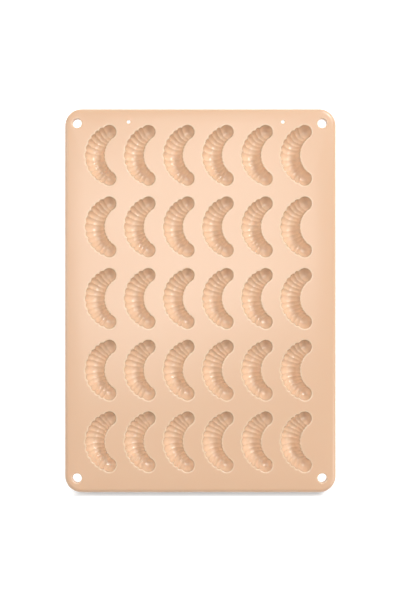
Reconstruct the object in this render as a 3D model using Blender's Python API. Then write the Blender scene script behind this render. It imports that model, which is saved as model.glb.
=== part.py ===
# Silicone croissant mould: one thin sheet with thirty ribbed crescent cups, a rolled rim
# and an eyelet at each corner. Metres, +Z up. The sheet lies face up, on the feet of its cups.
# The origin is on the ground under the middle of the sheet. +X runs across the short side and
# +Y along the long side, towards the edge that has the two pin holes.
# The real sheet is moulded in one piece. Here it is parted along plain planes: each cup with
# its share of the web, four lengths of rim, and the bosses under the eyelets.

import math

import bmesh
import bpy

MM = 0.001

# Layout of the cups
COLUMNS = 6
ROWS = 5
COLUMN_GAP = 7.5 * MM
ROW_GAP = 10.6 * MM
MARGIN_LEFT = 19.6 * MM
MARGIN_RIGHT = 23.7 * MM
MARGIN_TOP = 16.1 * MM
MARGIN_BOTTOM = 20.1 * MM

# Sheet and its rolled rim
WEB_THICKNESS = 1.8 * MM
CORNER_RADIUS = 16.0 * MM
RIM_RADIUS = 4.4 * MM
RIM_SKIRT = 1.5 * MM
CORNER_STEPS = 6
RIM_STEPS = 4

# One crescent cavity, seen from above: two arcs joined by round tips
OUTER_RADIUS = 30.0 * MM
CHANNEL_WIDTH = 18.8 * MM
TIP_RADIUS = 6.7 * MM
TIP_ANGLE = math.radians(73.1)
CAVITY_DEPTH = 12.5 * MM
TIP_DEPTH = 9.5 * MM
LEVEL_SHARE = 0.5

# Lobes of the croissant, and the ridges that stand between them
LOBES_EACH_SIDE = 5
MIDDLE_LOBE = 1.26
LOBE_TAPER = 0.926
TIP_SHARE = 0.65
RIDGE_HEIGHT = 1.2 * MM
MIDDLE_FADE = 0.5
INNER_FADE = 0.35

# Walls of a cup, and the flat foot that it stands on
CUP_WALL = 1.2 * MM
FLOOR_WALL = 1.5 * MM
FOOT_WIDTH = 6.0 * MM
WEB_BESIDE_CUP = 0.8 * MM

# Holes
EYELET_BORE = 8.7 * MM
EYELET_WALL = 1.8 * MM
EYELET_FROM_LEFT = 12.0 * MM
EYELET_FROM_RIGHT = 13.5 * MM
EYELET_FROM_END = 14.3 * MM
PIN_BORE = 3.3 * MM
PIN_FROM_LEFT = 61.3 * MM
PIN_FROM_RIGHT = 51.3 * MM
PIN_FROM_BACK = 13.0 * MM
EYELET_SIDES = 16
PIN_SIDES = 10

# How finely a cup is cut up
CAVITY_BENDS = (-1.0, -0.72, 0.0, 0.72, 1.0)
CAP_WEDGES = 5
SHELL_STATIONS = 4
SHELL_WEDGES = 3
BELLY_ANGLE = math.radians(35.5)

# Plan of the crescent, about the centre of its outer arc
TIP_REACH = OUTER_RADIUS - TIP_RADIUS
TIP_X = -TIP_REACH * math.cos(TIP_ANGLE)
TIP_Y = TIP_REACH * math.sin(TIP_ANGLE)
INNER_EDGE = CHANNEL_WIDTH - OUTER_RADIUS
TIP_TO_EDGE = TIP_RADIUS - INNER_EDGE
INNER_CENTRE = (TIP_REACH**2 - TIP_TO_EDGE**2) / (2 * (TIP_TO_EDGE + TIP_X))
INNER_RADIUS = INNER_CENTRE - INNER_EDGE
CAVITY_WIDTH = OUTER_RADIUS + TIP_X + TIP_RADIUS
CAVITY_LENGTH = 2 * (TIP_Y + TIP_RADIUS)
CAVITY_CENTRE = CAVITY_WIDTH / 2 - OUTER_RADIUS

# Sheet
COLUMN_PITCH = CAVITY_WIDTH + COLUMN_GAP
ROW_PITCH = CAVITY_LENGTH + ROW_GAP
SHEET_WIDTH = MARGIN_LEFT + COLUMNS * COLUMN_PITCH - COLUMN_GAP + MARGIN_RIGHT
SHEET_LENGTH = MARGIN_TOP + ROWS * ROW_PITCH - ROW_GAP + MARGIN_BOTTOM
TOP = CAVITY_DEPTH + FLOOR_WALL
WEB_UNDERSIDE = TOP - WEB_THICKNESS
RIM_FOOT = TOP - RIM_RADIUS - RIM_SKIRT
FIELD_MARGIN = CUP_WALL + WEB_BESIDE_CUP
FIELD_LEFT = -SHEET_WIDTH / 2 + MARGIN_LEFT - FIELD_MARGIN
FIELD_RIGHT = SHEET_WIDTH / 2 - MARGIN_RIGHT + FIELD_MARGIN
FIELD_BACK = SHEET_LENGTH / 2 - MARGIN_TOP + FIELD_MARGIN
FIELD_FRONT = -SHEET_LENGTH / 2 + MARGIN_BOTTOM - FIELD_MARGIN
OUTSIDE = 5.0 * MM


def silicone(name):
    material = bpy.data.materials.new(name)
    material.use_nodes = True
    shader = material.node_tree.nodes["Principled BSDF"]
    shader.inputs["Base Color"].default_value = (0.91, 0.64, 0.45, 1.0)
    shader.inputs["Roughness"].default_value = 0.42
    shader.inputs["Metallic"].default_value = 0.0
    shader.inputs["Subsurface Weight"].default_value = 0.2
    material.diffuse_color = (0.91, 0.64, 0.45, 1.0)
    return material


def add_object(name, bm, location=(0.0, 0.0, 0.0)):
    bmesh.ops.recalc_face_normals(bm, faces=bm.faces)
    mesh = bpy.data.meshes.new(name)
    bm.to_mesh(mesh)
    bm.free()
    mesh.shade_smooth()
    mesh.set_sharp_from_angle(angle=math.radians(35))
    obj = bpy.data.objects.new(name, mesh)
    obj.location = location
    bpy.context.collection.objects.link(obj)
    return obj


def add_part(name, bm, location=(0.0, 0.0, 0.0)):
    obj = add_object(name, bm, location)
    obj.data.materials.append(silicone(name))
    return obj


def add_cutter(name, x, y, bore, sides):
    bm = bmesh.new()
    bmesh.ops.create_cone(
        bm,
        cap_ends=True,
        segments=sides,
        radius1=bore / 2,
        radius2=bore / 2,
        depth=2 * (TOP + OUTSIDE),
    )
    cutter = add_object(name, bm, (x, y, 0.0))
    cutter.hide_render = True
    cutter.display_type = "WIRE"
    return cutter


def cut(part, cutter):
    boolean = part.modifiers.new(cutter.name, "BOOLEAN")
    boolean.operation = "DIFFERENCE"
    boolean.object = cutter


# The crescent

def channel_at(angle):
    # The middle of the channel, its touching points on the two arcs, and its half width.
    # The middle of a channel between two arcs is an ellipse with their centres as its foci.
    both = OUTER_RADIUS + INNER_RADIUS
    out = (both**2 - INNER_CENTRE**2) / (2 * (both + INNER_CENTRE * math.cos(angle)))
    x = -out * math.cos(angle)
    y = out * math.sin(angle)
    half_width = OUTER_RADIUS - out
    turn = math.atan2(-y, INNER_CENTRE - x)
    return {
        "angle": angle,
        "middle": (x, y),
        "outward": (-math.cos(angle), math.sin(angle)),
        "inward": (math.cos(turn), math.sin(turn)),
        "half_width": half_width,
    }


def depth_at(angle):
    # Level in the middle of the cup, then rising smoothly to the tips.
    share = abs(angle) / TIP_ANGLE
    rise = max(0.0, (share - LEVEL_SHARE) / (1.0 - LEVEL_SHARE))
    smooth = rise * rise * (3.0 - 2.0 * rise)
    return CAVITY_DEPTH + (TIP_DEPTH - CAVITY_DEPTH) * smooth


def lobe_stations():
    # Angles from tip to tip, each with the height of the ridge there: a ridge between each
    # two lobes, none on a lobe's crown. The lobes get shorter towards the tips.
    shares = [MIDDLE_LOBE / 2]
    for lobe in range(LOBES_EACH_SIDE):
        shares.append(LOBE_TAPER**lobe)
    unit = TIP_ANGLE / (sum(shares) + TIP_SHARE)
    half = []
    ridge = 0.0
    for share in shares:
        start = ridge
        ridge += share * unit
        if start > 0.0:
            half.append(((start + ridge) / 2, 0.0))
        half.append((ridge, RIDGE_HEIGHT))
    half.append((TIP_ANGLE, 0.0))
    other = [(-angle, height) for angle, height in reversed(half)]
    return other + [(0.0, 0.0)] + half


def cavity_point(place, direction, across, ridge):
    # A point of the cavity's skin: across is 0 at the bottom of the channel and 1 at its edge.
    drawn_in = 1.0 - ridge / place["half_width"]
    out = across * place["half_width"] * drawn_in
    down = depth_at(place["angle"]) * math.sqrt(max(0.0, 1.0 - across * across)) * drawn_in
    x = place["middle"][0] + direction[0] * out
    y = place["middle"][1] + direction[1] * out
    return (x, y, TOP - down)


def cavity_section(place, ridge):
    # A ridge is full at the outer edge, and lower on the bottom and at the inner edge.
    points = []
    for bend in CAVITY_BENDS:
        edge_fade, direction = (1.0, "outward") if bend <= 0.0 else (INNER_FADE, "inward")
        fade = MIDDLE_FADE + (edge_fade - MIDDLE_FADE) * abs(bend)
        points.append(cavity_point(place, place[direction], abs(bend), ridge * fade))
    return points


def shell_half(place, direction):
    # The outside of the cup from the web down to its foot, on one side of the channel.
    reach = place["half_width"] + CUP_WALL
    drop = depth_at(place["angle"]) + FLOOR_WALL
    foot = FOOT_WIDTH / CHANNEL_WIDTH * place["half_width"]
    outs = (reach, reach * math.cos(BELLY_ANGLE), foot)
    heights = (WEB_UNDERSIDE, TOP - drop * math.sin(BELLY_ANGLE), TOP - drop)
    x, y = place["middle"]
    return [(x + direction[0] * out, y + direction[1] * out, z) for out, z in zip(outs, heights)]


def shell_section(place):
    outer = shell_half(place, place["outward"])
    inner = shell_half(place, place["inward"])
    return outer + inner[::-1]


def cap_directions(place, wedges):
    # Directions that sweep round a tip, from the outer arc to the inner one.
    start = math.atan2(place["outward"][1], place["outward"][0])
    end = math.atan2(place["inward"][1], place["inward"][0])
    sweep = (end - start) % (2 * math.pi)
    if place["angle"] > 0.0:
        sweep -= 2 * math.pi
    turns = [start + sweep * step / wedges for step in range(1, wedges)]
    return [(math.cos(turn), math.sin(turn)) for turn in turns]


# Meshes

def add_row(bm, points):
    return [bm.verts.new((x - CAVITY_CENTRE, y, z)) for x, y, z in points]


def skin(bm, first, second):
    for index in range(len(first) - 1):
        bm.faces.new((first[index], first[index + 1], second[index + 1], second[index]))


def add_cavity_skin(bm):
    # The ribbed surface that the dough lies in. Returns its edge, in order round the crescent.
    rows = []
    for angle, ridge in lobe_stations():
        rows.append(add_row(bm, cavity_section(channel_at(angle), ridge)))
    for first, second in zip(rows, rows[1:]):
        skin(bm, first, second)
    bottom = len(CAVITY_BENDS) // 2
    across = CAVITY_BENDS[bottom + 1 :][::-1]
    edges = []
    for row, angle in ((rows[-1], TIP_ANGLE), (rows[0], -TIP_ANGLE)):
        place = channel_at(angle)
        spokes = [row[:bottom]]
        for direction in cap_directions(place, CAP_WEDGES):
            spokes.append(add_row(bm, [cavity_point(place, direction, share, 0.0) for share in across]))
        spokes.append(row[:bottom:-1])
        for first, second in zip(spokes, spokes[1:]):
            skin(bm, first, second)
            bm.faces.new((first[-1], second[-1], row[bottom]))
        edges.append([spoke[0] for spoke in spokes[1:-1]])
    outer = [row[0] for row in rows]
    inner = [row[-1] for row in rows]
    return outer + edges[0] + inner[::-1] + edges[1][::-1]


def add_shell(bm):
    # The plain outside of the cup, with its flat foot. Returns its edge under the web.
    angles = [TIP_ANGLE * step / SHELL_STATIONS for step in range(-SHELL_STATIONS, SHELL_STATIONS + 1)]
    rows = [add_row(bm, shell_section(channel_at(angle))) for angle in angles]
    for first, second in zip(rows, rows[1:]):
        skin(bm, first, second)
    half = len(rows[0]) // 2
    edges = []
    for row, angle in ((rows[-1], TIP_ANGLE), (rows[0], -TIP_ANGLE)):
        place = channel_at(angle)
        spokes = [row[:half]]
        for direction in cap_directions(place, SHELL_WEDGES):
            spokes.append(add_row(bm, shell_half(place, direction)))
        spokes.append(row[: half - 1 : -1])
        for first, second in zip(spokes, spokes[1:]):
            skin(bm, first, second)
        bm.faces.new([spoke[-1] for spoke in spokes])
        edges.append([spoke[0] for spoke in spokes[1:-1]])
    outer = [row[0] for row in rows]
    inner = [row[-1] for row in rows]
    return outer + edges[0] + inner[::-1] + edges[1][::-1]


def closed_edges(bm, loop):
    edges = []
    for first, second in zip(loop, loop[1:] + loop[:1]):
        edge = bm.edges.get((first, second))
        edges.append(edge or bm.edges.new((first, second)))
    return edges


def add_cavity(name, x, y, left, right, front, back):
    # A cup with its share of the web, which reaches from left to right and from front to back.
    bm = bmesh.new()
    mouth = add_cavity_skin(bm)
    neck = add_shell(bm)
    plan = ((left - x, front - y), (right - x, front - y), (right - x, back - y), (left - x, back - y))
    upper = [bm.verts.new((px, py, TOP)) for px, py in plan]
    lower = [bm.verts.new((px, py, WEB_UNDERSIDE)) for px, py in plan]
    for loop, hole in ((upper, mouth), (lower, neck)):
        rings = closed_edges(bm, loop) + closed_edges(bm, hole)
        bmesh.ops.triangle_fill(bm, use_beauty=True, use_dissolve=False, edges=rings)
    for index in range(4):
        after = (index + 1) % 4
        bm.faces.new((upper[index], upper[after], lower[after], lower[index]))
    return add_part(name, bm, (x, y, 0.0))


def rim_profile():
    # The rolled edge from the top of the web, out and down to the skirt's foot, then back
    # up inside to the web's underside: pairs of distance in from the outline, and height.
    outside = []
    inside = []
    for step in range(RIM_STEPS + 1):
        turn = math.pi / 2 * step / RIM_STEPS
        outside.append((RIM_RADIUS * (1 - math.sin(turn)), TOP - RIM_RADIUS * (1 - math.cos(turn))))
        bend = RIM_RADIUS - WEB_THICKNESS
        inside.append((RIM_RADIUS - bend * math.sin(turn), TOP - RIM_RADIUS + bend * math.cos(turn)))
    foot = [(0.0, RIM_FOOT), (WEB_THICKNESS, RIM_FOOT)]
    return outside + foot + inside[::-1]


def outline(bm, inset, height):
    corner_x = SHEET_WIDTH / 2 - CORNER_RADIUS
    corner_y = SHEET_LENGTH / 2 - CORNER_RADIUS
    radius = CORNER_RADIUS - inset
    loop = []
    for quarter, (side, end) in enumerate(((1, 1), (-1, 1), (-1, -1), (1, -1))):
        for step in range(CORNER_STEPS + 1):
            turn = math.pi / 2 * (quarter + step / CORNER_STEPS)
            x = side * corner_x + radius * math.cos(turn)
            y = end * corner_y + radius * math.sin(turn)
            loop.append(bm.verts.new((x, y, height)))
    return loop


def keep_side(bm, point, normal):
    # Cuts off what lies beyond the plane, and closes the cut.
    everything = list(bm.verts) + list(bm.edges) + list(bm.faces)
    result = bmesh.ops.bisect_plane(
        bm, geom=everything, dist=1e-7, plane_co=point, plane_no=normal, clear_outer=True
    )
    edges = [item for item in result["geom_cut"] if isinstance(item, bmesh.types.BMEdge)]
    bmesh.ops.triangle_fill(bm, use_beauty=True, use_dissolve=False, edges=edges)


def add_rim(name, planes):
    # One length of the web's border with its rolled edge, cut from the whole sheet.
    bm = bmesh.new()
    loops = [outline(bm, inset, height) for inset, height in rim_profile()]
    for first, second in zip(loops, loops[1:]):
        skin(bm, first + first[:1], second + second[:1])
    bm.faces.new(loops[0])
    bm.faces.new(loops[-1])
    bmesh.ops.recalc_face_normals(bm, faces=bm.faces)
    for point, normal in planes:
        keep_side(bm, point, normal)
    return add_part(name, bm)


def add_boss(name, x, y):
    # The thick ring under an eyelet, from the web down to the level of the rim's foot.
    bm = bmesh.new()
    inner = EYELET_BORE / 2
    outer = inner + EYELET_WALL
    corners = ((inner, RIM_FOOT), (outer, RIM_FOOT), (outer, WEB_UNDERSIDE), (inner, WEB_UNDERSIDE))
    section = [bm.verts.new((out, 0.0, height)) for out, height in corners]
    edges = closed_edges(bm, section)
    bmesh.ops.spin(
        bm,
        geom=section + edges,
        cent=(0.0, 0.0, 0.0),
        axis=(0.0, 0.0, 1.0),
        angle=2 * math.pi,
        steps=EYELET_SIDES,
        use_merge=True,
    )
    bmesh.ops.remove_doubles(bm, verts=bm.verts, dist=1e-6)
    return add_part(name, bm, (x, y, 0.0))


def build():
    for obj in list(bpy.data.objects):
        bpy.data.objects.remove(obj, do_unlink=True)

    columns = []
    for column in range(COLUMNS):
        columns.append(-SHEET_WIDTH / 2 + MARGIN_LEFT + CAVITY_WIDTH / 2 + column * COLUMN_PITCH)
    rows = []
    for row in range(ROWS):
        rows.append(SHEET_LENGTH / 2 - MARGIN_TOP - CAVITY_LENGTH / 2 - row * ROW_PITCH)

    cups = {}
    for row, y in enumerate(rows):
        back = FIELD_BACK if row == 0 else y + ROW_PITCH / 2
        front = FIELD_FRONT if row == ROWS - 1 else y - ROW_PITCH / 2
        for column, x in enumerate(columns):
            left = FIELD_LEFT if column == 0 else x - COLUMN_PITCH / 2
            right = FIELD_RIGHT if column == COLUMNS - 1 else x + COLUMN_PITCH / 2
            name = f"cavity_r{row + 1}_c{column + 1}"
            cups[row, column] = add_cavity(name, x, y, left, right, front, back)

    past_left = ((FIELD_LEFT, 0.0, 0.0), (-1.0, 0.0, 0.0))
    past_right = ((FIELD_RIGHT, 0.0, 0.0), (1.0, 0.0, 0.0))
    rims = {
        "rim_left": add_rim("rim_left", [((FIELD_LEFT, 0.0, 0.0), (1.0, 0.0, 0.0))]),
        "rim_right": add_rim("rim_right", [((FIELD_RIGHT, 0.0, 0.0), (-1.0, 0.0, 0.0))]),
        "rim_back": add_rim("rim_back", [((0.0, FIELD_BACK, 0.0), (0.0, -1.0, 0.0)), past_left, past_right]),
        "rim_front": add_rim("rim_front", [((0.0, FIELD_FRONT, 0.0), (0.0, 1.0, 0.0)), past_left, past_right]),
    }

    eyelet_places = {
        "left": (-SHEET_WIDTH / 2 + EYELET_FROM_LEFT, 0),
        "right": (SHEET_WIDTH / 2 - EYELET_FROM_RIGHT, COLUMNS - 1),
    }
    for side, (x, column) in eyelet_places.items():
        for end, sign, row in (("back", 1, 0), ("front", -1, ROWS - 1)):
            y = sign * (SHEET_LENGTH / 2 - EYELET_FROM_END)
            add_boss(f"eyelet_{end}_{side}", x, y)
            cutter = add_cutter(f"eyelet_cutter_{end}_{side}", x, y, EYELET_BORE, EYELET_SIDES)
            cut(rims[f"rim_{side}"], cutter)
            cut(cups[row, column], cutter)

    # A pin hole lies across the line between the back rim and the first row of cups.
    pin_places = {
        "left": -SHEET_WIDTH / 2 + PIN_FROM_LEFT,
        "right": SHEET_WIDTH / 2 - PIN_FROM_RIGHT,
    }
    for side, x in pin_places.items():
        y = SHEET_LENGTH / 2 - PIN_FROM_BACK
        cutter = add_cutter(f"pin_cutter_{side}", x, y, PIN_BORE, PIN_SIDES)
        cut(rims["rim_back"], cutter)
        for column in range(COLUMNS):
            cut(cups[0, column], cutter)

    print(f"sheet {SHEET_WIDTH * 1000:.1f} x {SHEET_LENGTH * 1000:.1f} x {TOP * 1000:.1f} mm")
    print(f"cavity {CAVITY_WIDTH * 1000:.1f} x {CAVITY_LENGTH * 1000:.1f} mm")


build()
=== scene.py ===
import math

import bmesh
import bpy
from mathutils import Matrix, Vector


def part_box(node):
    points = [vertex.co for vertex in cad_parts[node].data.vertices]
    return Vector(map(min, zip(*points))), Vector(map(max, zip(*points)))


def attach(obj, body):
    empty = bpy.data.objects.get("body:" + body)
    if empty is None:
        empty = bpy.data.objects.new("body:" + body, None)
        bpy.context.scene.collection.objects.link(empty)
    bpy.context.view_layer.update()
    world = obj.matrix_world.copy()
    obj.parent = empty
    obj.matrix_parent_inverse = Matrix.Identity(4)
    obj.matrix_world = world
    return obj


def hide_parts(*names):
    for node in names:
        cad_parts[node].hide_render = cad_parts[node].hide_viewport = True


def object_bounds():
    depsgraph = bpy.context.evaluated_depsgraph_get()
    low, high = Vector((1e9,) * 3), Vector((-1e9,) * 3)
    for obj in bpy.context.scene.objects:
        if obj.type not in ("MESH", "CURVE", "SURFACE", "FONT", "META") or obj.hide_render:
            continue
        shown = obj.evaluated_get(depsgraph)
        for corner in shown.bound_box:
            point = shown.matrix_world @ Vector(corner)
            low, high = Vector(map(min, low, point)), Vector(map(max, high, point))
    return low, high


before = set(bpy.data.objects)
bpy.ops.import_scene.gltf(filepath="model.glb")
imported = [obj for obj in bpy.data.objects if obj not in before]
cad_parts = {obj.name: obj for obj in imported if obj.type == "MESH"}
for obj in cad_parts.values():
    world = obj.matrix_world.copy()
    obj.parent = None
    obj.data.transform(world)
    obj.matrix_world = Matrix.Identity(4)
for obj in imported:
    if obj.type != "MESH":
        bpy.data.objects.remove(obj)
cadLow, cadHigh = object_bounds()
mm = 0.001
print("loaded", len(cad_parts), "nodes")


sheet = {
    "width": cadHigh.x - cadLow.x,
    "length": cadHigh.y - cadLow.y,
    "top": cadHigh.z,
    "web": 1.8 * mm,
    "cornerRadius": 16.0 * mm,
    "cornerSegments": 14,
    "rimRadius": 4.4 * mm,
    "rimSegments": 7,
    "rimFoot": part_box("rim_left")[0].z,
    "footRound": 0.5 * mm,
    "footSegments": 3,
    "sharpAngle": math.radians(60.0),
    "sameHeight": 0.001 * mm,
    "weld": 0.0001 * mm,
}


def addTray(bm):
    # a rounded rectangle, pulled down, its top edge rolled over, then given the web's thickness
    made = bmesh.ops.create_grid(bm, x_segments=1, y_segments=1, size=0.5)
    for vert in made["verts"]:
        vert.co = (vert.co.x * sheet["width"], vert.co.y * sheet["length"], sheet["top"])
    bmesh.ops.bevel(
        bm,
        geom=made["verts"],
        offset=sheet["cornerRadius"],
        offset_type="OFFSET",
        affect="VERTICES",
        segments=sheet["cornerSegments"],
        profile=0.5,
        material=-1,
    )
    skirt = bmesh.ops.extrude_edge_only(bm, edges=list(bm.edges))["geom"]
    for vert in [item for item in skirt if isinstance(item, bmesh.types.BMVert)]:
        vert.co.z = sheet["rimFoot"]
    bmesh.ops.bevel(
        bm,
        geom=edgesAt(bm, sheet["top"]),
        offset=sheet["rimRadius"],
        offset_type="OFFSET",
        affect="EDGES",
        segments=sheet["rimSegments"],
        profile=0.5,
        material=-1,
    )
    bmesh.ops.recalc_face_normals(bm, faces=bm.faces)
    bmesh.ops.solidify(bm, geom=list(bm.faces), thickness=sheet["web"])
    foot = edgesAt(bm, sheet["rimFoot"])
    bmesh.ops.bevel(
        bm,
        geom=[edge for edge in foot if edge.calc_face_angle(0.0) > sheet["sharpAngle"]],
        offset=sheet["footRound"],
        offset_type="OFFSET",
        affect="EDGES",
        segments=sheet["footSegments"],
        profile=0.5,
        material=-1,
    )
    # the two level faces go, and fillLevel closes them round the holes
    levelFaces = [face for face in bm.faces if len(face.verts) > 4]
    bmesh.ops.delete(bm, geom=levelFaces, context="FACES_ONLY")


def edgesAt(bm, height):
    reach = sheet["sameHeight"]
    return [edge for edge in bm.edges if all(abs(vert.co.z - height) < reach for vert in edge.verts)]


def fillLevel(bm, height):
    # closes one side of the web between the holes that have been made in it
    rims = [edge for edge in edgesAt(bm, height) if len(edge.link_faces) == 1]
    bmesh.ops.triangle_fill(bm, use_beauty=True, use_dissolve=False, edges=rims, normal=(0.0, 0.0, 1.0))


# Seen from above a cup is a crescent: two arcs joined by round tips that touch both.
crescent = {
    "outerRadius": 30.0 * mm,
    "channelWidth": 18.8 * mm,
    "tipRadius": 6.7 * mm,
    "tipAngle": math.radians(73.1),
    "depth": 12.5 * mm,
    "tipDepth": 9.5 * mm,
    "levelShare": 0.5,       # how far along the half crescent the floor stays level
    "lobesEachSide": 5,
    "middleLobe": 1.26,      # against the next lobe's length
    "lobeTaper": 0.926,
    "tipShare": 0.65,        # the smooth tip beyond the last ridge
    "ridge": 1.2 * mm,
    "middleFade": 0.25,      # what is left of a ridge on the floor of the cup
    "innerFade": 0.45,       # and at the inner edge
    "lip": 0.8 * mm,
    "lipSegments": 3,
    "flat": 0.6 * mm,        # level band round the lip, so the web shades flat
    "wallRings": 10,
    "stops": (0.15, 0.55),   # stations between a ridge and the next crown, close to the ridge
    "capSegments": 9,
}

# The plan of the crescent, about the centre of its outer arc
tipReach = crescent["outerRadius"] - crescent["tipRadius"]
tipX = -tipReach * math.cos(crescent["tipAngle"])
innerEdge = crescent["channelWidth"] - crescent["outerRadius"]
tipToEdge = crescent["tipRadius"] - innerEdge
innerCentre = (tipReach**2 - tipToEdge**2) / (2 * (tipToEdge + tipX))
innerRadius = innerCentre - innerEdge
boxCentre = (tipX + crescent["tipRadius"] - crescent["outerRadius"]) / 2


def channelAt(angle):
    # the middle line between the two arcs is an ellipse with their centres as its foci
    both = crescent["outerRadius"] + innerRadius
    out = (both**2 - innerCentre**2) / (2 * (both + innerCentre * math.cos(angle)))
    middle = Vector((-out * math.cos(angle), out * math.sin(angle)))
    outward = Vector((-math.cos(angle), math.sin(angle)))
    inward = (Vector((innerCentre, 0.0)) - middle).normalized()
    return middle, outward, inward, crescent["outerRadius"] - out


def depthAt(angle):
    share = abs(angle) / crescent["tipAngle"]
    rise = max(0.0, (share - crescent["levelShare"]) / (1 - crescent["levelShare"]))
    return crescent["depth"] + (crescent["tipDepth"] - crescent["depth"]) * rise * rise * (3 - 2 * rise)


def ridgeAngles():
    # where the ridges stand, from the middle of the cup to its tip
    lengths = [crescent["middleLobe"] / 2]
    lengths += [crescent["lobeTaper"] ** lobe for lobe in range(crescent["lobesEachSide"])]
    unit = crescent["tipAngle"] / (sum(lengths) + crescent["tipShare"])
    angles = []
    for length in lengths:
        angles.append((angles[-1] if angles else 0.0) + length * unit)
    return angles


def ridgeShare(angle):
    # 1 on a ridge and 0 on a lobe's crown, with a round hollow between
    turn = abs(angle)
    ridges = ridgeAngles()
    if turn <= ridges[0]:
        return (turn / ridges[0]) ** 2
    for near, far in zip(ridges, ridges[1:]):
        if turn <= far:
            return (2 * (turn - near) / (far - near) - 1) ** 2
    return ((crescent["tipAngle"] - turn) / (crescent["tipAngle"] - ridges[-1])) ** 2


def stationAngles(stops):
    ridges = ridgeAngles()
    half = [0.0] + [ridges[0] * (1 - stop) for stop in reversed(stops)] + [ridges[0]]
    for near, far in zip(ridges, ridges[1:]):
        crown = (near + far) / 2
        half += [near + (crown - near) * stop for stop in stops] + [crown]
        half += [far + (crown - far) * stop for stop in reversed(stops)] + [far]
    last = ridges[-1]
    half += [last + (crescent["tipAngle"] - last) * stop for stop in stops] + [crescent["tipAngle"]]
    return [-angle for angle in reversed(half[1:])] + half


def crescentSpots(stops, capSegments):
    # places round the channel: the outer side, one tip, the inner side, the other tip
    angles = stationAngles(stops)
    outer = []
    inner = []
    for angle in angles:
        middle, outward, inward, halfWidth = channelAt(angle)
        shared = {"angle": angle, "middle": middle, "halfWidth": halfWidth, "ridge": ridgeShare(angle)}
        outer.append({**shared, "direction": outward, "fade": 1.0})
        inner.append({**shared, "direction": inward, "fade": crescent["innerFade"]})
    caps = []
    for spot, other in ((outer[-1], inner[-1]), (outer[0], inner[0])):
        start = math.atan2(spot["direction"].y, spot["direction"].x)
        sweep = (math.atan2(other["direction"].y, other["direction"].x) - start) % (2 * math.pi)
        if spot["angle"] > 0:
            sweep -= 2 * math.pi
        cap = []
        for step in range(1, capSegments):
            turn = start + sweep * step / capSegments
            cap.append({**spot, "direction": Vector((math.cos(turn), math.sin(turn)))})
        caps.append(cap)
    return outer + caps[0] + inner[::-1] + caps[1][::-1]


def ringOf(bm, spots):
    # a closed ring with a point for each spot, which addRings puts in its place
    made = bmesh.ops.create_circle(bm, segments=len(spots), radius=0.01)["verts"]
    return sorted(made, key=lambda vert: math.atan2(vert.co.y, vert.co.x))


def extrudeRing(bm, ring):
    edges = [bm.edges.get((first, second)) for first, second in zip(ring, ring[1:] + ring[:1])]
    made = bmesh.ops.extrude_edge_only(bm, edges=edges)["geom"]
    fresh = {item for item in made if isinstance(item, bmesh.types.BMVert)}
    grown = []
    for vert in ring:
        others = [edge.other_vert(vert) for edge in vert.link_edges]
        grown.append(next(other for other in others if other in fresh))
    return grown


def quarterRound(radius, steps):
    # how far out and how far down the points of a small quarter round lie
    turns = [math.pi / 2 * step / steps for step in range(steps + 1)]
    return [(radius * (1 - math.sin(turn)), radius * (1 - math.cos(turn))) for turn in turns]


def cavityLevels():
    # across: share of the half width, beyond: added distance, below: depth of the lip,
    # sunk: share of the cup's depth
    levels = [(1.0, crescent["lip"] + crescent["flat"], 0.0, 0.0)]
    for out, down in quarterRound(crescent["lip"], crescent["lipSegments"]):
        levels.append((1.0, out, down, 0.0))
    for step in range(1, crescent["wallRings"] + 1):
        turn = math.pi / 2 * step / crescent["wallRings"]
        levels.append((math.cos(turn), 0.0, 0.0, math.sin(turn)))
    return levels


def cavityPoint(spot, level):
    across, beyond, below, sunk = level
    fade = crescent["middleFade"] + (spot["fade"] - crescent["middleFade"]) * across
    drawnIn = 1 - crescent["ridge"] * spot["ridge"] * fade / spot["halfWidth"]
    out = across * spot["halfWidth"] * drawnIn + beyond
    place = spot["middle"] + spot["direction"] * out
    height = sheet["top"] - below - depthAt(spot["angle"]) * sunk * drawnIn
    return (place.x - boxCentre, place.y, height)


# The outside of a cup, down to its flat foot
cupBack = {
    "wall": 1.2 * mm,
    "floor": 1.5 * mm,
    "footHalf": 3.0 * mm,
    "fillet": 1.0 * mm,
    "filletSegments": 2,
    "flat": 0.4 * mm,
    "wallRings": 5,
    "stops": (),             # none here: the ripple outside is faint
    "capSegments": 6,
    "ripple": 0.35,          # how much of a ridge still shows outside
}


def backLevels():
    # beyond the wall along the web, round the fillet, down the wall and across the foot
    levels = [(1.0, cupBack["fillet"] + cupBack["flat"], 0.0, 0.0)]
    for out, down in quarterRound(cupBack["fillet"], cupBack["filletSegments"]):
        levels.append((1.0, out, down, 0.0))
    footShare = cupBack["footHalf"] / (crescent["channelWidth"] / 2 + cupBack["wall"])
    webDown = (sheet["web"] + cupBack["fillet"]) / (crescent["depth"] + cupBack["floor"])
    first = math.asin(webDown)
    last = math.acos(footShare)
    for step in range(1, cupBack["wallRings"] + 1):
        turn = first + (last - first) * step / cupBack["wallRings"]
        levels.append((math.cos(turn), 0.0, 0.0, math.sin(turn) / math.sin(last)))
    levels.append((0.0, 0.0, 0.0, 1.0))
    return levels


def backPoint(spot, level):
    across, beyond, below, sunk = level
    fade = crescent["middleFade"] + (spot["fade"] - crescent["middleFade"]) * across
    ripple = crescent["ridge"] * spot["ridge"] * cupBack["ripple"] * fade
    out = across * (spot["halfWidth"] + cupBack["wall"] - ripple) + beyond
    place = spot["middle"] + spot["direction"] * out
    if sunk > 0:
        height = sheet["top"] - (depthAt(spot["angle"]) + cupBack["floor"]) * sunk
    else:
        height = sheet["top"] - sheet["web"] - below
    return (place.x - boxCentre, place.y, height)


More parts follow.
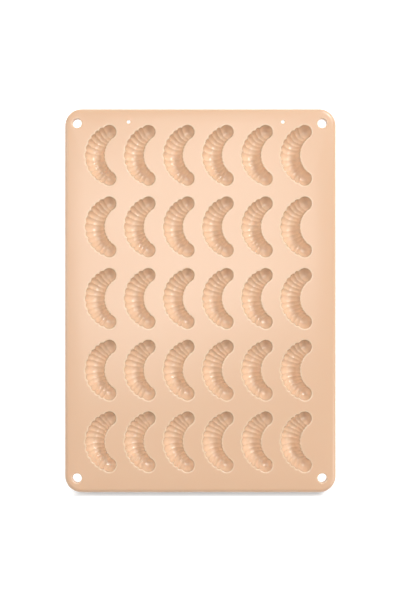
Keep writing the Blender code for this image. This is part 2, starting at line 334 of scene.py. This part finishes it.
def addRings(bm, spots, levels, point, hollowFrom):
    # The rounded rings are marked as lip, where the material paints a highlight, and those from hollowFrom
    # on as the hollow of the cup, which the material paints paler.
    lip = bm.verts.layers.float["lip"]
    hollow = bm.verts.layers.float["hollow"]
    ring = ringOf(bm, spots)
    for index, level in enumerate(levels):
        if index > 0:
            ring = extrudeRing(bm, ring)
        for vert, spot in zip(ring, spots):
            vert.co = point(spot, level)
            vert[lip] = 1.0 if 1 <= index <= crescent["lipSegments"] else 0.0
            vert[hollow] = 1.0 if index >= hollowFrom else 0.0
    bmesh.ops.remove_doubles(bm, verts=ring, dist=sheet["weld"])


def makeCup():
    bm = bmesh.new()
    bm.verts.layers.float.new("lip")
    bm.verts.layers.float.new("hollow")
    inside = cavityLevels()
    insideSpots = crescentSpots(crescent["stops"], crescent["capSegments"])
    addRings(bm, insideSpots, inside, cavityPoint, crescent["lipSegments"] + 1)
    outside = backLevels()
    outsideSpots = crescentSpots(cupBack["stops"], cupBack["capSegments"])
    addRings(bm, outsideSpots, outside, backPoint, len(outside))
    mesh = bpy.data.meshes.new("cup")
    bm.to_mesh(mesh)
    print("one cup has", len(bm.faces), "faces")
    bm.free()
    return mesh


eyelet = {
    "bore": 8.7 * mm,
    "wall": 1.8 * mm,
    "lip": 0.9 * mm,
    "fillet": 0.7 * mm,
    "segments": 48,
    "arcSteps": 4,
}


def arc(centreOut, centreHeight, radius, start, end, steps):
    # points of a quarter round in the plane that is spun, from one direction to the other
    points = []
    for step in range(steps + 1):
        turn = math.radians(start + (end - start) * step / steps)
        points.append((centreOut + radius * math.cos(turn), centreHeight + radius * math.sin(turn)))
    return points


def spinProfile(bm, points, centre, segments):
    lip = bm.verts.layers.float["lip"]
    verts = [bm.verts.new((centre.x + out, centre.y, height)) for out, height in points]
    # the lip mark on the hole's rounded top edge is where the material paints a highlight
    for vert in verts:
        vert[lip] = 1.0 if sheet["top"] - eyelet["lip"] < vert.co.z < sheet["top"] else 0.0
    edges = [bm.edges.new(pair) for pair in zip(verts, verts[1:])]
    bmesh.ops.spin(
        bm,
        geom=verts + edges,
        cent=(centre.x, centre.y, 0.0),
        axis=(0.0, 0.0, 1.0),
        angle=2 * math.pi,
        steps=segments,
        use_merge=True,
        use_duplicate=False,
    )


def eyeletPlaces():
    boxes = [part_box("eyelet_" + name) for name in ("back_left", "back_right", "front_left", "front_right")]
    return [(low + high) / 2 for low, high in boxes]


def addEyelet(bm, centre):
    top = sheet["top"]
    under = top - sheet["web"]
    inside = eyelet["bore"] / 2
    outside = inside + eyelet["wall"]
    lip = eyelet["lip"]
    fillet = eyelet["fillet"]
    steps = eyelet["arcSteps"]
    points = [(inside + lip + crescent["flat"], top)]
    points += arc(inside + lip, top - lip, lip, 90, 180, steps)
    points += arc(inside + lip, sheet["rimFoot"] + lip, lip, 180, 270, steps)
    points += arc(outside - lip, sheet["rimFoot"] + lip, lip, -90, 0, steps)
    points += arc(outside + fillet, under - fillet, fillet, 180, 90, steps)
    points += [(outside + fillet + cupBack["flat"], under)]
    spinProfile(bm, points, centre, eyelet["segments"])


pinHole = {
    "bore": 3.3 * mm,
    "fromLeft": 61.3 * mm,
    "fromRight": 51.3 * mm,
    "fromBack": 13.0 * mm,
    "lip": 0.3 * mm,
    "segments": 24,
    "arcSteps": 3,
}


def pinPlaces():
    back = sheet["length"] / 2 - pinHole["fromBack"]
    left = -sheet["width"] / 2 + pinHole["fromLeft"]
    right = sheet["width"] / 2 - pinHole["fromRight"]
    return [Vector((left, back, 0.0)), Vector((right, back, 0.0))]


def addPinHole(bm, centre):
    top = sheet["top"]
    under = top - sheet["web"]
    inside = pinHole["bore"] / 2
    lip = pinHole["lip"]
    steps = pinHole["arcSteps"]
    points = [(inside + lip + lip, top)]
    points += arc(inside + lip, top - lip, lip, 90, 180, steps)
    points += arc(inside + lip, under + lip, lip, 180, 270, steps)
    points += [(inside + lip + lip, under)]
    spinProfile(bm, points, centre, pinHole["segments"])


# The layout comes from the frame's tiles: an inner tile is one pitch wide and one pitch long.
tileLow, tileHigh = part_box("cavity_r2_c2")
layout = {
    "columns": 6,
    "rows": 5,
    "pitch": tileHigh - tileLow,
    "secondCup": (tileLow + tileHigh) / 2,
}


def addCups(bm):
    cup = makeCup()
    second = layout["secondCup"]
    for row in range(layout["rows"]):
        for column in range(layout["columns"]):
            x = second.x + (column - 1) * layout["pitch"].x
            y = second.y + (1 - row) * layout["pitch"].y
            copy = cup.copy()
            copy.transform(Matrix.Translation((x, y, 0.0)))
            bm.from_mesh(copy)


def siliconeSheet():
    bm = bmesh.new()
    bm.verts.layers.float.new("lip")
    bm.verts.layers.float.new("hollow")
    addTray(bm)
    for centre in eyeletPlaces():
        addEyelet(bm, centre)
    for centre in pinPlaces():
        addPinHole(bm, centre)
    addCups(bm)
    fillLevel(bm, sheet["top"])
    fillLevel(bm, sheet["top"] - sheet["web"])
    bmesh.ops.remove_doubles(bm, verts=bm.verts, dist=sheet["weld"])
    bmesh.ops.recalc_face_normals(bm, faces=bm.faces)
    gaps = sum(1 for edge in bm.edges if len(edge.link_faces) != 2)
    triangles = sum(len(face.verts) - 2 for face in bm.faces)
    print("sheet has", triangles, "triangles,", gaps, "open edges,", round(bm.calc_volume() * 1e6), "ml")
    mesh = bpy.data.meshes.new("siliconeSheet")
    bm.to_mesh(mesh)
    bm.free()
    mesh.shade_smooth()
    piece = bpy.data.objects.new("siliconeSheet", mesh)
    bpy.context.collection.objects.link(piece)
    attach(piece, "root")
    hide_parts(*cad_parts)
    return piece


def addNode(tree, kind, inputs=None, **settings):
    node = tree.nodes.new(kind)
    for name, value in settings.items():
        setattr(node, name, value)
    for name, value in (inputs or {}).items():
        node.inputs[name].default_value = value
    return node


silicone = {
    "peach": (0.86, 0.57, 0.38, 1.0),
    "deep": (0.84, 0.545, 0.355, 1.0),
    "thin": (0.87, 0.62, 0.43, 1.0),      # cups painted paler, standing in for light that passes through their thin walls
    "paintedLipHighlight": (0.96, 0.76, 0.56, 1.0),      # painted highlight on the rounded lips, for their sheen and the light through thin edges
    "lipHighlightShare": 0.6,
    "through": 0.15,                      # share of the light that goes into the silicone
    "reach": 2.0 * mm,
    "reachByColour": (1.0, 0.7, 0.5),
    "index": 1.5,
    "shine": 0.65,
    "roughness": (0.22, 0.28),
    "hollowRoughness": 0.13,              # the cups are glossier than the web
    "cloudScale": 14.0,
    "cloudDetail": 3.0,
    "grainScale": 900.0,
    "grainDetail": 2.0,
    "grainDepth": 0.2 * mm,
    "grainStrength": 0.05,
}


def makeSilicone():
    material = bpy.data.materials.new("peachSilicone")
    material.use_nodes = True
    tree = material.node_tree
    shader = tree.nodes["Principled BSDF"]
    shader.inputs["Subsurface Weight"].default_value = silicone["through"]
    shader.inputs["Subsurface Radius"].default_value = silicone["reachByColour"]
    shader.inputs["Subsurface Scale"].default_value = silicone["reach"]
    shader.inputs["IOR"].default_value = silicone["index"]
    shader.inputs["Specular IOR Level"].default_value = silicone["shine"]
    # the web drifts between two near tones
    where = addNode(tree, "ShaderNodeTexCoord")
    drift = {"Scale": silicone["cloudScale"], "Detail": silicone["cloudDetail"]}
    cloud = addNode(tree, "ShaderNodeTexNoise", drift)
    body = addNode(tree, "ShaderNodeMix", data_type="RGBA")
    body.inputs["A"].default_value = silicone["peach"]
    body.inputs["B"].default_value = silicone["deep"]
    tree.links.new(where.outputs["Object"], cloud.inputs["Vector"])
    tree.links.new(cloud.outputs["Fac"], body.inputs["Factor"])
    # painted light: the cups are painted paler than the web, standing in for light that passes through their
    # thin walls
    hollow = addNode(tree, "ShaderNodeAttribute", attribute_name="hollow")
    wall = addNode(tree, "ShaderNodeMix", data_type="RGBA")
    wall.inputs["B"].default_value = silicone["thin"]
    tree.links.new(hollow.outputs["Fac"], wall.inputs["Factor"])
    tree.links.new(body.outputs["Result"], wall.inputs["A"])
    # painted highlight: the rounded lips are painted paler, standing in for their sheen and the light
    # through thin edges
    lip = addNode(tree, "ShaderNodeAttribute", attribute_name="lip")
    share = addNode(tree, "ShaderNodeMath", operation="MULTIPLY")
    share.inputs[1].default_value = silicone["lipHighlightShare"]
    edge = addNode(tree, "ShaderNodeMix", data_type="RGBA")
    edge.inputs["B"].default_value = silicone["paintedLipHighlight"]
    tree.links.new(lip.outputs["Fac"], share.inputs[0])
    tree.links.new(share.outputs[0], edge.inputs["Factor"])
    tree.links.new(wall.outputs["Result"], edge.inputs["A"])
    tree.links.new(edge.outputs["Result"], shader.inputs["Base Color"])
    # gloss
    gloss = addNode(tree, "ShaderNodeMapRange")
    gloss.inputs["To Min"].default_value = silicone["roughness"][0]
    gloss.inputs["To Max"].default_value = silicone["roughness"][1]
    tree.links.new(cloud.outputs["Fac"], gloss.inputs["Value"])
    polish = addNode(tree, "ShaderNodeMix", data_type="FLOAT")
    polish.inputs["B"].default_value = silicone["hollowRoughness"]
    tree.links.new(hollow.outputs["Fac"], polish.inputs["Factor"])
    tree.links.new(gloss.outputs["Result"], polish.inputs["A"])
    tree.links.new(polish.outputs["Result"], shader.inputs["Roughness"])
    # a very fine grain
    fine = {"Scale": silicone["grainScale"], "Detail": silicone["grainDetail"]}
    grain = addNode(tree, "ShaderNodeTexNoise", fine)
    relief = {"Strength": silicone["grainStrength"], "Distance": silicone["grainDepth"]}
    bump = addNode(tree, "ShaderNodeBump", relief)
    tree.links.new(where.outputs["Object"], grain.inputs["Vector"])
    tree.links.new(grain.outputs["Fac"], bump.inputs["Height"])
    tree.links.new(bump.outputs["Normal"], shader.inputs["Normal"])
    return material


floor = {
    "size": 4000.0 * mm,
    "drop": 0.1 * mm,                     # no face of the floor lies in the feet's plane
    "colour": (0.9, 0.9, 0.9, 1.0),
    "glow": 0.75,
    "shadeGlow": 0.12,                    # under the sheet and just before its front edge
    "shadeMiddle": -11.8 * mm,
    "shadeEnds": (176.2 * mm, 181.7 * mm),
    "shadeSides": (112.0 * mm, 136.0 * mm),
    "spot": 7.5 * mm,                     # painted light: under each hole the floor glows white
    "spotEdge": 1.5 * mm,
}


def makeFloor():
    bm = bmesh.new()
    bmesh.ops.create_grid(bm, x_segments=1, y_segments=1, size=floor["size"] / 2)
    bmesh.ops.translate(bm, verts=bm.verts, vec=(0.0, 0.0, -floor["drop"]))
    mesh = bpy.data.meshes.new("floor")
    bm.to_mesh(mesh)
    bm.free()
    piece = bpy.data.objects.new("floor", mesh)
    bpy.context.collection.objects.link(piece)
    material = bpy.data.materials.new("whiteFloor")
    material.use_nodes = True
    tree = material.node_tree
    tree.nodes.remove(tree.nodes["Principled BSDF"])
    output = tree.nodes["Material Output"]
    paint = addNode(tree, "ShaderNodeBsdfDiffuse", {"Color": floor["colour"]})
    glow = addNode(tree, "ShaderNodeEmission")
    strength = addNode(tree, "ShaderNodeMath", operation="MULTIPLY")
    both = addNode(tree, "ShaderNodeAddShader")
    tree.links.new(seenShare(tree), strength.inputs[0])
    tree.links.new(glowAt(tree), strength.inputs[1])
    tree.links.new(strength.outputs[0], glow.inputs["Strength"])
    tree.links.new(paint.outputs[0], both.inputs[0])
    tree.links.new(glow.outputs[0], both.inputs[1])
    tree.links.new(both.outputs[0], output.inputs["Surface"])
    mesh.materials.append(material)


def glowAt(tree):
    # the floor's glow: low in the shade, full outside it and under the holes
    where = addNode(tree, "ShaderNodeTexCoord")
    axes = addNode(tree, "ShaderNodeSeparateXYZ")
    tree.links.new(where.outputs["Object"], axes.inputs[0])
    strongest = None
    shades = (("X", 0.0, floor["shadeSides"]), ("Y", floor["shadeMiddle"], floor["shadeEnds"]))
    for axis, line, reach in shades:
        away = addNode(tree, "ShaderNodeMath", operation="SUBTRACT")
        away.inputs[1].default_value = line
        size = addNode(tree, "ShaderNodeMath", operation="ABSOLUTE")
        rise = addNode(tree, "ShaderNodeMapRange", interpolation_type="SMOOTHSTEP")
        rise.inputs["From Min"].default_value = reach[0]
        rise.inputs["From Max"].default_value = reach[1]
        rise.inputs["To Min"].default_value = floor["shadeGlow"]
        rise.inputs["To Max"].default_value = floor["glow"]
        tree.links.new(axes.outputs[axis], away.inputs[0])
        tree.links.new(away.outputs[0], size.inputs[0])
        tree.links.new(size.outputs[0], rise.inputs["Value"])
        strongest = brighter(tree, strongest, rise.outputs["Result"])
    # painted light: a pool of white glow on the floor under each hole
    for place in eyeletPlaces() + pinPlaces():
        away = addNode(tree, "ShaderNodeVectorMath", operation="DISTANCE")
        away.inputs[1].default_value = (place.x, place.y, 0.0)
        spot = addNode(tree, "ShaderNodeMapRange")
        spot.inputs["From Min"].default_value = floor["spot"]
        spot.inputs["From Max"].default_value = floor["spot"] - floor["spotEdge"]
        tree.links.new(where.outputs["Object"], away.inputs[0])
        tree.links.new(away.outputs["Value"], spot.inputs["Value"])
        strongest = brighter(tree, strongest, spot.outputs["Result"])
    return strongest


def brighter(tree, first, second):
    if first is None:
        return second
    larger = addNode(tree, "ShaderNodeMath", operation="MAXIMUM")
    tree.links.new(first, larger.inputs[0])
    tree.links.new(second, larger.inputs[1])
    return larger.outputs[0]


def seenShare(tree):
    # 1 for rays from the camera, in a reflection or through glass
    path = addNode(tree, "ShaderNodeLightPath")
    share = brighter(tree, path.outputs["Is Camera Ray"], path.outputs["Is Glossy Ray"])
    return brighter(tree, share, path.outputs["Is Transmission Ray"])


# The top lamp shows as a broad sheen on the web, and the key lamp as a small spot in the lobes.
studio = {
    "world": 0.16,
    "top": {"place": (-0.05, 0.17, 1.50), "size": (0.75, 0.64), "power": 6.1},
    "key": {"place": (1.17, 1.26, 2.11), "size": (0.70, 0.70), "power": 23.5},
    "back": {"place": (1.41, 2.00, 1.53), "size": (1.30, 1.30), "power": 20.5},
    "side": {"place": (2.10, -1.12, 1.80), "size": (1.30, 1.30), "power": 18.5},
    "left": {"place": (-1.50, 0.15, 0.95), "size": (0.90, 0.90), "power": 6.8},
}


def addLamp(name):
    made = studio[name]
    lamp = bpy.data.lights.new(name, "AREA")
    lamp.shape = "RECTANGLE"
    lamp.size, lamp.size_y = made["size"]
    lamp.energy = made["power"]
    obj = bpy.data.objects.new(name, lamp)
    obj.location = made["place"]
    obj.rotation_euler = (-Vector(made["place"])).to_track_quat("-Z", "Y").to_euler()
    bpy.context.collection.objects.link(obj)


def makeWorld():
    world = bpy.data.worlds.new("studio")
    bpy.context.scene.world = world
    world.use_nodes = True
    tree = world.node_tree
    background = tree.nodes["Background"]
    background.inputs["Color"].default_value = (1.0, 1.0, 1.0, 1.0)
    path = addNode(tree, "ShaderNodeLightPath")
    mix = addNode(tree, "ShaderNodeMapRange")
    mix.inputs["To Min"].default_value = studio["world"]
    mix.inputs["To Max"].default_value = 1.0
    tree.links.new(path.outputs["Is Camera Ray"], mix.inputs["Value"])
    tree.links.new(mix.outputs["Result"], background.inputs["Strength"])


photo = {
    "width": 400,
    "height": 600,
    "mmPerPixel": 0.957,
    "middle": (200.45, 300.7),    # where the middle of the sheet shows
    "distance": 0.80,             # from the web to the lens
    "sensor": 36.0,
    "clip": (0.01, 20.0),
}


def makeCamera():
    camera = bpy.data.cameras.new("camera")
    view = photo["height"] * photo["mmPerPixel"] * mm
    camera.sensor_fit = "AUTO"
    camera.sensor_width = photo["sensor"]
    camera.lens = photo["sensor"] * photo["distance"] / view
    camera.clip_start, camera.clip_end = photo["clip"]
    obj = bpy.data.objects.new("camera", camera)
    x = (photo["width"] / 2 - photo["middle"][0]) * photo["mmPerPixel"] * mm
    y = (photo["middle"][1] - photo["height"] / 2) * photo["mmPerPixel"] * mm
    obj.location = (x, y, sheet["top"] + photo["distance"])
    bpy.context.collection.objects.link(obj)
    bpy.context.scene.camera = obj


sheetPiece = siliconeSheet()
sheetPiece.data.materials.append(makeSilicone())
print("silicone sheet done")
makeFloor()
makeWorld()
for name in ("top", "key", "back", "side", "left"):
    addLamp(name)
makeCamera()
bpy.context.scene.view_settings.view_transform = "Standard"
print("studio done")
